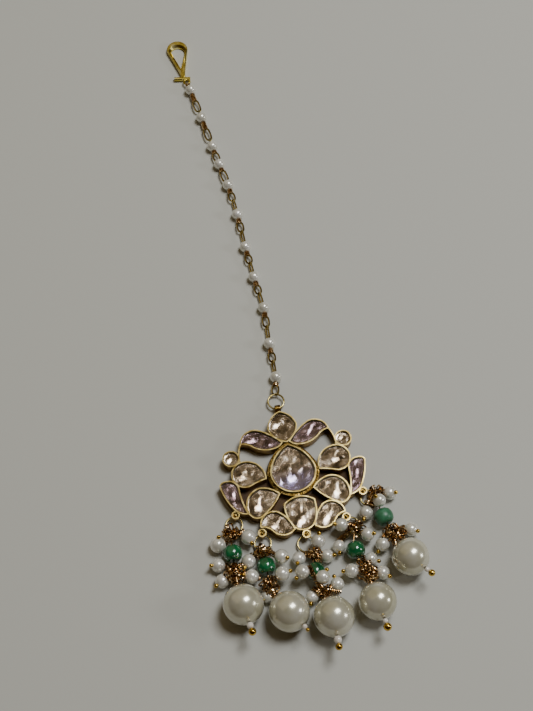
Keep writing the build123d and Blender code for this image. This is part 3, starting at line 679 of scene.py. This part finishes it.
def finishKnot(name, half, wires, balls, pearls, masses):
    for middle, (across, along), turn in masses:
        curlMass(wires, middle, across, along, turn)
    finishPiece(f"{name}_{half}_wires", wires, wireCopper, [f"{name}_{half}_cluster"])
    finishPiece(f"{name}_{half}_pearls", pearls, smallPearlLacquer)
    finishPiece(f"{name}_{half}_balls", balls, ballGold)


upright = Vector((0, 0, 1))
for letter, drop in drops.items():
    name, pin, linkRadius = "drop_" + letter, dropSetup["pinWire"], dropSetup["linkRadius"]
    knot, bead, foot, pearl = (Vector(drop[key]) for key in ("knot", "rondelle", "foot", "pearl"))
    beadWay = (foot - knot).normalized()
    beadSide = beadWay.cross(upright)
    tipWay = direction(*drop["tip"])
    eyelet = Vector((*drop["eyelet"], dropSetup["ringHeight"]))
    ringMiddle = eyelet + direction(drop["ring"]) * dropSetup["ringRadius"]
    bm = bmesh.new()
    stamp(bm, jumpRing, Matrix.Translation(ringMiddle))
    finishPiece(name + "_jump_ring", bm, wireGold, [name + "_ring"])

    # the upper knot: its loop on the ring, its pearls, and its pin through the bead to a loop below
    wires, balls, pearls = bmesh.new(), bmesh.new(), bmesh.new()
    hangWay = (Vector((knot.x, knot.y, dropSetup["ringHeight"])) - ringMiddle).normalized()
    hang = ringMiddle + hangWay * dropSetup["ringRadius"]
    toKnot = (knot - hang).normalized()
    hangEnd = hang + toKnot * dropSetup["loopRadius"]
    beadTop = bead - beadWay * (dropSetup["rondelleHalf"] + dropSetup["pinGap"])
    link = bead + beadWay * (dropSetup["rondelleHalf"] + linkRadius + dropSetup["linkGap"])
    stamp(wires, hangLoop, aim(hang, hangWay.cross(upright)))
    straightWire(wires, hangEnd, knot, pin)
    windPin(wires, hangEnd, toKnot, (knot - hang).length, "hangCoil")
    straightWire(wires, knot, beadTop, pin)
    straightWire(wires, beadTop, link - beadWay * linkRadius, pin)
    stamp(wires, linkLoop, aim(link, beadSide))
    dangles(wires, balls, pearls, drop["upper"], knot)
    finishKnot(name, "upper", wires, balls, pearls, drop["upperMass"])

    bm = bmesh.new()
    stamp(bm, rondelle, aim(bead, beadWay, anyTurn()))
    sharp = beadSetup["tumbledSharp"] if letter in beadSetup["tumbled"] else beadSetup["cutSharp"]
    finishPiece(name + "_faceted_bead", bm, paleQuartz if letter in beadSetup["pale"] else greenQuartz,
                [name + "_green_bead"], sharp=sharp)

    # the lower knot: its loop on the upper one's, its pearls, and the headed pin through the big pearl
    wires, balls, pearls = bmesh.new(), bmesh.new(), bmesh.new()
    pearlTop = pearl - tipWay * (drop["radius"] + dropSetup["pearlGap"])
    seed = pearl + tipWay * (drop["radius"] + drop["seedRadius"] + dropSetup["seedGap"])
    endBall = seed + tipWay * (drop["seedRadius"] + drop["endBall"] * dropSetup["endBallSunk"])
    toFoot = foot - pearlTop
    stamp(wires, linkLoop, aim(link + beadWay * linkRadius, beadWay.cross(beadSide)))
    straightWire(wires, link + beadWay * (2 * linkRadius), foot, pin)
    straightWire(wires, foot, pearlTop, pin)
    windPin(wires, pearlTop, toFoot, toFoot.length, "footCoil")
    straightWire(wires, pearlTop, endBall, pin)
    stamp(balls, goldBall, aim(endBall, tipWay, 0, drop["endBall"] * dropSetup["snug"]))
    dangles(wires, balls, pearls, drop["lower"], foot)
    finishKnot(name, "lower", wires, balls, pearls, drop["lowerMass"])

    bm = bmesh.new()
    stamp(bm, bigPearl, aim(pearl, tipWay, 0, drop["radius"]))
    finishPiece(name + "_round_pearl", bm, pearlLacquer, [name + "_big_pearl"])
    bm = bmesh.new()
    stamp(bm, smallPearl, aim(seed, tipWay, 0, drop["seedRadius"] * dropSetup["snug"]))
    finishPiece(name + "_seed", bm, seedGlass, [name + "_seed_bead"])
print("drops made")

# the chain: from each pearl upwards an upright link, a flat ring and a wound neck
chainSetup = {
    "height": 1.15, "pearl": 1.42, "wire": 0.25, "pin": 0.16, "pinIn": 0.3, "overlap": 0.35,
    "ringWidth": 2.05, "linkWidth": 1.35, "ringShare": 0.42, "linkLean": 38, "loopSteps": 24, "loopSides": 6,
    "neck": 1.2, "shortNeck": 0.8, "longNeck": 2.5, "neckRadius": 0.54, "neckWire": 0.21, "neckPitch": 0.42,
    "longRoom": 5, "ovals": (9, 10), "ovalGap": 1.1,
    "foot": (0.2, 20.36), "top": (-4.39, 116.46), "topRing": (0, 18.48, 1.2),
}
chainPearls = [
    (1.24, 24.7), (1.56, 33.9), (2.16, 43.9), (1.5, 53.0), (1.05, 62.1), (0.95, 72.1),
    (0.3, 81.5), (-0.75, 88.4), (-1.55, 94.4), (-2.7, 104.3), (-3.97, 114.1),
]
links, necks, pearls = bmesh.new(), bmesh.new(), bmesh.new()


def chainLoop(low, high, facing, width):  # a loop that reaches from one place to another
    way = (high - low).normalized()
    radius, wire = width / 2 - chainSetup["wire"], chainSetup["wire"]
    reach = (high - low).length / 2 + chainSetup["overlap"] - wire
    shape = wireRing(radius, wire, chainSetup["loopSteps"], chainSetup["loopSides"], max(1, reach / radius))
    basis = Matrix((way, facing.cross(way), facing)).transposed().to_4x4()
    stamp(links, shape, Matrix.Translation((low + high) / 2) @ basis)


places = [Vector((*flat, chainSetup["height"])) for flat in chainPearls]
ends = [Vector((*chainSetup["foot"], chainSetup["height"])), *places,
        Vector((*chainSetup["top"], chainSetup["height"]))]
for flat in chainPearls:
    stamp(pearls, smallPearl, aim(Vector((*flat, chainSetup["pearl"])), Vector((0, 1, 0)), anyTurn(),
                                  chainSetup["pearl"]))
for index, (start, end) in enumerate(zip(ends, ends[1:])):
    way = (end - start).normalized()
    low = start if index == 0 else start + way * chainSetup["pearl"]
    high = end if index == len(places) else end - way * chainSetup["pearl"]
    room = (high - low).length
    # below the two topmost pearls one long oval takes the place of link and ring
    ovals = index in chainSetup["ovals"]
    if ovals:
        neck = chainSetup["longNeck"]
    elif room > chainSetup["longRoom"]:
        neck = chainSetup["neck"]
    else:
        neck = min(chainSetup["shortNeck"], room / 2)
    bend = high - way * neck
    straightWire(links, start, low + way * chainSetup["pinIn"], chainSetup["pin"])
    straightWire(links, bend, end, chainSetup["pin"])
    coiledWire(necks, bend, way, neck, chainSetup["neckRadius"], chainSetup["neckWire"], 0,
               chainSetup["neckPitch"])
    if room > chainSetup["longRoom"] and not ovals:
        turnOver = bend.lerp(low, chainSetup["ringShare"])
        facing = Matrix.Rotation(math.radians(chainSetup["linkLean"]), 3, way) @ way.cross(upright)
        chainLoop(low, turnOver, facing, chainSetup["linkWidth"])
        chainLoop(turnOver, bend, upright, chainSetup["ringWidth"])
    else:
        foot = low + way * chainSetup["ovalGap"] if ovals else low
        chainLoop(foot, bend, upright, min(chainSetup["ringWidth"], room - neck + 2 * chainSetup["overlap"]))
finishPiece("chain_links", links, wireGold, ["pearl_chain"])
finishPiece("chain_necks", necks, wireCopper)
finishPiece("chain_pearls", pearls, smallPearlLacquer)
bm = bmesh.new()
stamp(bm, jumpRing, Matrix.Translation(chainSetup["topRing"]))
finishPiece("top_ring", bm, wireGold, ["pendant_ring"])
print("chain made")

# the hook: a bent strip, so its loop slopes down to the hole from a thin rounded edge
hookSetup = {
    "slope": 0.6, "slopedOver": 1.25, "level": 0.99, "plumb": 0.1,
    "edgeRound": 0.1, "roundSteps": 3, "sharperThan": 30, "sharp": 40,
}
bm = flatCopy("hair_hook")
holeEdge = []
for edge in bm.edges:
    leans = sorted(abs(face.normal.z) for face in edge.link_faces)
    cornered = leans[0] < hookSetup["plumb"] and leans[-1] > hookSetup["level"]
    if cornered and min(v.co.z for v in edge.verts) > hookSetup["slopedOver"]:
        holeEdge.append(edge)
bmesh.ops.bevel(bm, geom=holeEdge, offset=hookSetup["slope"], offset_type="OFFSET", affect="EDGES",
                segments=1, profile=0.5, material=-1, clamp_overlap=True)
hook = finishPiece("hook", bm, hookGold, ["hair_hook"], sharp=hookSetup["sharp"])
roundEdges(hook, "rolled_edges", hookSetup["edgeRound"], hookSetup["roundSteps"], hookSetup["sharperThan"])
print("hook made, sloped along", len(holeEdge), "edges")
